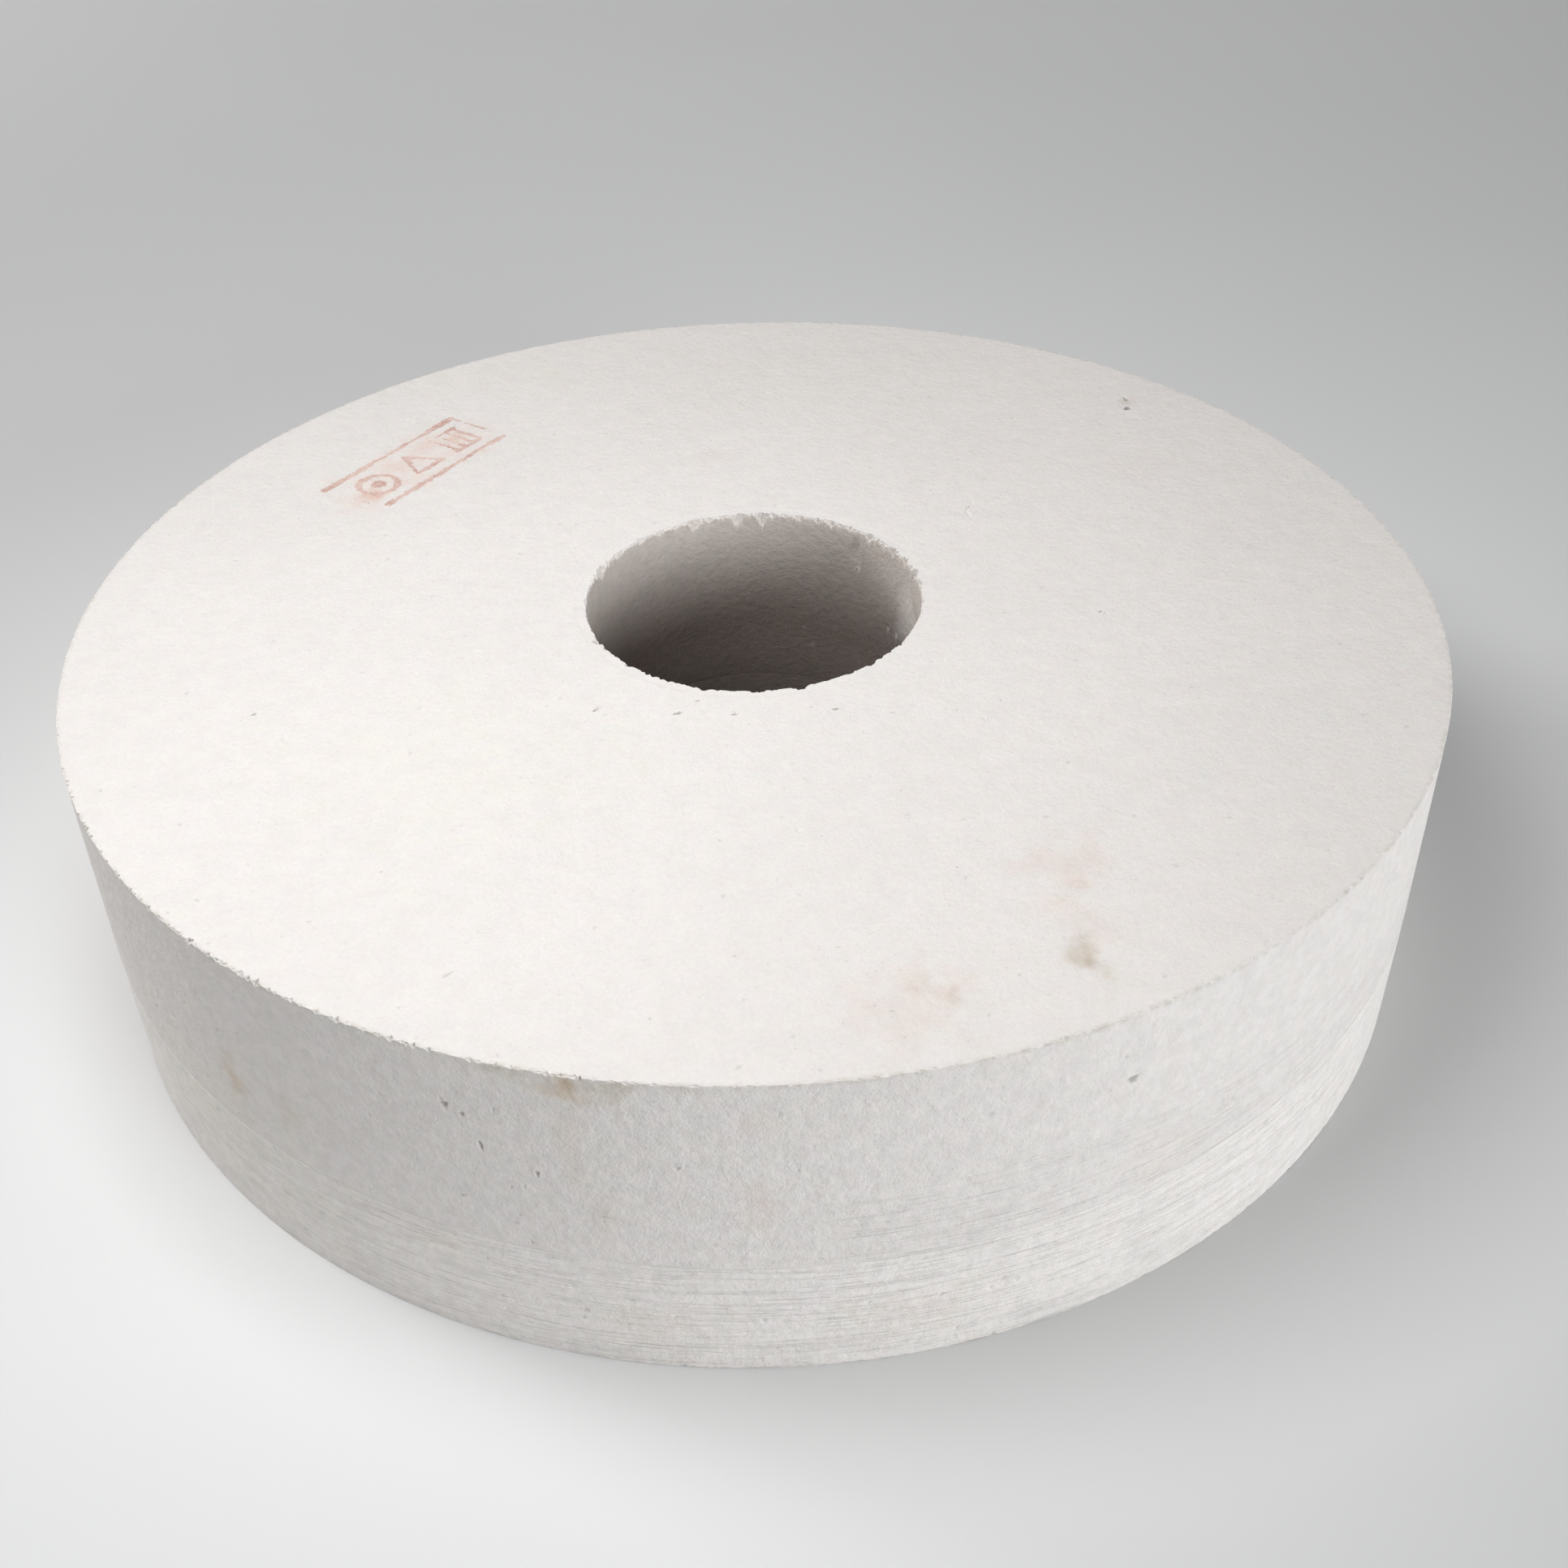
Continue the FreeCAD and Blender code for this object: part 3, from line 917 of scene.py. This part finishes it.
TOP_STAINS = [
    *((under_mark(along), (10, 10, 6), HALO, 1.0) for along in (-18, -9, 0, 9, 18)),
    (under_mark(-20, -2), (4, 4, 4), INK_BLOT, 1.0), (under_mark(14, 2), (5, 5, 4), INK_BLOT, 0.5),
    ((56, -97, TOP), (9, 9, 6), PINK, 0.95), ((56, -113, TOP), (8, 9, 6), PINK, 0.6),
    ((54.5, -121.5, TOP), (3.6, 4.5, 5), UMBER, 0.95), ((58, -127, TOP), (3, 4.5, 5), UMBER, 0.6),
    ((24, -134, TOP), (12, 12, 6), PINK, 0.75), ((27, -128.6, TOP), (4.5, 3, 4), BROWN, 0.35),
    ((31.6, -132, TOP), (1.6, 3, 4), UMBER, 0.4), ((-10, 67, TOP), (7, 6, 6), RUST, 0.15),
    ((96, 55, TOP), (12, 9, 6), PINK, 0.3), ((99.6, 91, TOP), (2.0, 3.4, 3), (0.82, 0.71, 0.67), 0.6),
    ((-60, -60, TOP), (40, 30, 8), (0.975, 0.985, 0.955), 0.6),
    ((20, 110, TOP), (50, 25, 8), (0.975, 0.98, 0.95), 0.6),
    ((-70, 118, TOP), (30, 12, 8), (0.98, 0.98, 0.94), 0.5),
]
SIDE_STAINS = [
    (side_point(-132, 33), (4, 4, 7), RUST, 0.8), (side_point(-126, 33), (3, 3, 4), RUST, 0.35),
    (side_point(-103.3, 4), (8, 8, 3.4), BROWN, 0.9), (side_point(-101, 2), (7, 7, 1.8), UMBER, 0.7),
    (side_point(-107, 1), (9, 9, 1.4), UMBER, 0.5), (side_point(-96, 1), (12, 12, 1.2), UMBER, 0.4),
    (side_point(-103, 16), (3, 3, 14), RUST, 0.2), (side_point(-101.5, 33), (3, 3, 8), RUST, 0.2),
    (side_point(-91, 9), (4, 4, 4), RUST, 0.2), (side_point(-91, 29), (5, 5, 6), PINK, 0.7),
    (side_point(-80, 62), (14, 14, 8), PINK, 0.4), (side_point(-98, 64), (12, 12, 7), PINK, 0.4),
    (side_point(-114, 50), (8, 8, 5), PINK, 0.35), (side_point(-62, 40), (10, 10, 9), PINK, 0.3),
    (side_point(-135, 48), (34, 34, 24), (0.985, 0.985, 0.945), 0.7),
    (side_point(40, 12), (5, 5, 6), RUST, 0.35), (side_point(140, 40), (5, 5, 8), RUST, 0.3),
]

WHITE = (0.80, 0.77, 0.745, 1)
LIGHTER = (0.865, 0.835, 0.805, 1)
DUST = (0.24, 0.22, 0.20, 1)
# Paler colour of freshly broken ceramic; on the wide bore patch it is painted light.
FRESH_AND_PAINTED_LIGHT = (0.85, 0.81, 0.78, 1)
# Painted shade down the bore wall, from its rim to its foot.
BORE_RIM_SHADE = (0.75, 0.71, 0.68, 1)
BORE_DEEP_SHADE = (0.285, 0.25, 0.23, 1)
BORE_FOOT_SHADE = (0.20, 0.175, 0.16, 1)
# Painted shade on the broken outer top edge.
ARRIS_SHADE = (0.88, 0.865, 0.83, 1)


def backing_material():
    """The upper layer: stained on the glue face and the side, with faint turned lines low on its side."""
    nodes = Nodes("backing_ceramic")
    wall = wall_mask(nodes)
    color = ceramic_color(nodes, WHITE, wall)
    on_walls = stained(nodes, color, SIDE_STAINS)
    color = nodes.mix(wall, stained(nodes, color, TOP_STAINS), on_walls)
    # Painted shade on the broken outer top edge.
    color = arris_painted_shade(nodes, color)
    # Painted shade down the bore wall.
    color = bore_painted_shade(nodes, color)
    color = marked(nodes, color, 0.75)
    low = nodes.between(height_of(nodes), 60 * MM, 35 * MM)
    patchy = nodes.between(nodes.noise(9, 1), 0.45, 0.6)
    weight = nodes.math("MULTIPLY", nodes.math("MULTIPLY", wall, low), patchy)
    lines = nodes.math("MULTIPLY", turned_lines(nodes, 2300), weight)
    # Painted shade: the colour is a little darker in the turned lines' cuts.
    color = dimmed(nodes, color, nodes.math("MULTIPLY_ADD", lines, 0.03, 1.0))
    lines = nodes.math("MULTIPLY", lines, 0.5)
    rough = nodes.between(nodes.noise(300, 3), 0.3, 0.7, 0.82, 0.95)
    return nodes.finish(color, rough, ceramic_height(nodes, wall, lines), 0.00022, 0.25)


def abrasive_material():
    """The lower layer: a little paler, with turned lines all over its side."""
    nodes = Nodes("abrasive_ceramic")
    wall = wall_mask(nodes)
    color = stained(nodes, ceramic_color(nodes, LIGHTER, wall), SIDE_STAINS)
    # Painted shade down the bore wall.
    color = bore_painted_shade(nodes, color)
    color = marked(nodes, color, 0.6)
    lines = turned_lines(nodes, 2600)
    # Painted shade: the colour is a little darker in the turned lines' cuts.
    color = dimmed(nodes, color, nodes.math("MULTIPLY_ADD", nodes.math("MULTIPLY", lines, wall), 0.035, 1.0))
    rough = nodes.between(nodes.noise(300, 3), 0.3, 0.7, 0.82, 0.95)
    height = ceramic_height(nodes, wall, nodes.math("MULTIPLY", lines, nodes.math("MULTIPLY", wall, 0.55)))
    return nodes.finish(color, rough, height, 0.00022, 0.25)


def cement_material():
    """The film of cement: a slightly darker, uneven grey."""
    nodes = Nodes("cement")
    uneven = nodes.between(nodes.noise(90, 4), 0.35, 0.65)
    color = nodes.mix(uneven, (0.71, 0.68, 0.65, 1), (0.79, 0.76, 0.73, 1))
    # Painted shade down the bore wall.
    color = bore_painted_shade(nodes, color)
    rough = nodes.between(nodes.noise(600, 2), 0.3, 0.7, 0.85, 0.97)
    return nodes.finish(color, rough, nodes.noise(1800, 3), 0.00015, 0.2)


def ink_material():
    """Faded red-brown ink, thinner in some places than in others."""
    nodes = Nodes("ink")
    strength = nodes.between(nodes.noise(260, 4), 0.35, 0.68)
    color = nodes.mix(strength, (0.70, 0.52, 0.46, 1), (0.57, 0.36, 0.31, 1))
    color = nodes.mix(nodes.between(nodes.noise(1500, 2), 0.45, 0.7, 0.0, 0.55), color, (0.77, 0.66, 0.61, 1))
    rough = nodes.between(nodes.noise(600, 2), 0.3, 0.7, 0.8, 0.95)
    return nodes.finish(color, rough, nodes.noise(2300, 2), 0.00012, 0.25)


def floor_material():
    """Plain pale grey."""
    nodes = Nodes("floor")
    color = nodes.mix(nodes.between(nodes.noise(3, 2), 0.3, 0.7), grey(0.78), grey(0.80))
    return nodes.finish(color, 0.9, nodes.noise(200, 2), 0.00002, 0.2)


# ---------------------------------------------------------------- building

backing = backing_mesh()
wear(backing, BIG_TOP_PITS + BIG_SIDE_PITS + BORE_MARKS + scattered_pits(48, 131), 132)
smooth(backing, 40)
backing_map(backing)
add_piece(backing, backing_material(), "backing_ring")

abrasive = abrasive_mesh()
wear(abrasive, BIG_SIDE_PITS + scattered_pits(46, 141), 142)
smooth(abrasive, 40)
abrasive_map(abrasive)
add_piece(abrasive, abrasive_material(), "abrasive_ring")

cement = cement_mesh()
smooth(cement, 40)
cement_map(cement)
add_piece(cement, cement_material(), "bond_line")

add_piece(ink_mesh(), ink_material(), None)

# ---------------------------------------------------------------- floor, lights and camera, in metres


def add_floor():
    """A wide plain floor under the wheel."""
    mesh = bpy.data.meshes.new("floor")
    half = 8.0
    corners = [(-half, -half, 0), (half, -half, 0), (half, half, 0), (-half, half, 0)]
    mesh.from_pydata(corners, [], [(0, 1, 2, 3)])
    mesh.materials.append(floor_material())
    floor = bpy.data.objects.new("floor", mesh)
    bpy.context.scene.collection.objects.link(floor)


def add_light(name, at, size, power, color=(1, 1, 1), aim=(0, 0, TOP * MM / 2)):
    """A square soft light at a point, aimed at the middle of the wheel unless told otherwise."""
    light = bpy.data.lights.new(name, "AREA")
    light.shape = "SQUARE"
    light.size = size
    light.energy = power
    light.color = color
    lamp = bpy.data.objects.new(name, light)
    lamp.location = at
    lamp.rotation_euler = (Vector(aim) - Vector(at)).to_track_quat("-Z", "Y").to_euler()
    lamp.visible_camera = False
    bpy.context.scene.collection.objects.link(lamp)


def add_world(strength, seen):
    """Even light from all round, with a paler backdrop than its strength gives where it is seen itself."""
    world = bpy.data.worlds.new("studio")
    world.use_nodes = True
    tree = world.node_tree
    light = tree.nodes["Background"]
    light.inputs["Strength"].default_value = strength
    backdrop = tree.nodes.new("ShaderNodeBackground")
    backdrop.inputs["Strength"].default_value = seen
    for background in (light, backdrop):
        background.inputs["Color"].default_value = (1.0, 1.0, 1.0, 1)
    path = tree.nodes.new("ShaderNodeLightPath")
    either = tree.nodes.new("ShaderNodeMixShader")
    tree.links.new(path.outputs["Is Camera Ray"], either.inputs[0])
    tree.links.new(light.outputs[0], either.inputs[1])
    tree.links.new(backdrop.outputs[0], either.inputs[2])
    tree.links.new(either.outputs[0], tree.nodes["World Output"].inputs["Surface"])
    bpy.context.scene.world = world


def add_camera(back, above, pitch, yaw, roll, lens):
    """The camera, back and above in wheel radii from the centre of the glue face, angles in degrees."""
    camera = bpy.data.cameras.new("camera")
    camera.lens = lens
    camera.sensor_width = 36
    camera.clip_start = 0.01
    eye = bpy.data.objects.new("camera", camera)
    pitch, yaw, roll = (math.radians(a) for a in (pitch, yaw, roll))
    forward = Vector((math.sin(yaw) * math.cos(pitch), math.cos(yaw) * math.cos(pitch), -math.sin(pitch)))
    right = Vector((math.cos(yaw), -math.sin(yaw), 0))
    down = forward.cross(right)
    rolled_right = math.cos(roll) * right + math.sin(roll) * down
    rolled_down = math.cos(roll) * down - math.sin(roll) * right
    radius = OUTER * MM
    spot = Vector((0, -back * radius, TOP * MM + above * radius))
    turn = Matrix((rolled_right, -rolled_down, -forward)).transposed()
    eye.matrix_world = Matrix.Translation(spot) @ turn.to_4x4()
    bpy.context.scene.collection.objects.link(eye)
    bpy.context.scene.camera = eye


add_floor()
add_camera(back=2.4113, above=1.4739, pitch=37.16, yaw=0.901, roll=1.416, lens=43.24)
add_world(0.10, seen=0.5)
add_light("overhead", (-0.11, -0.10, 0.44), 0.25, 1.32)
add_light("back_left", (-1.70, 1.00, 0.76), 0.6, 14.8)
add_light("left", (-1.90, 0.70, 0.56), 0.8, 6.8)
add_light("right_window", (1.30, -1.80, 0.56), 0.8, 21.0, (0.95, 0.98, 1.0))
add_light("right", (2.00, -1.50, 0.76), 0.7, 6.0, (0.95, 0.98, 1.0))
add_light("right_low", (2.30, -0.70, 0.30), 0.6, 13.0, (0.97, 0.985, 1.0))
add_light("back_wash", (0.15, 1.0, 0.6), 1.0, 1.3, aim=(0.15, 1.0, 0))
bpy.context.scene.view_settings.view_transform = "Standard"
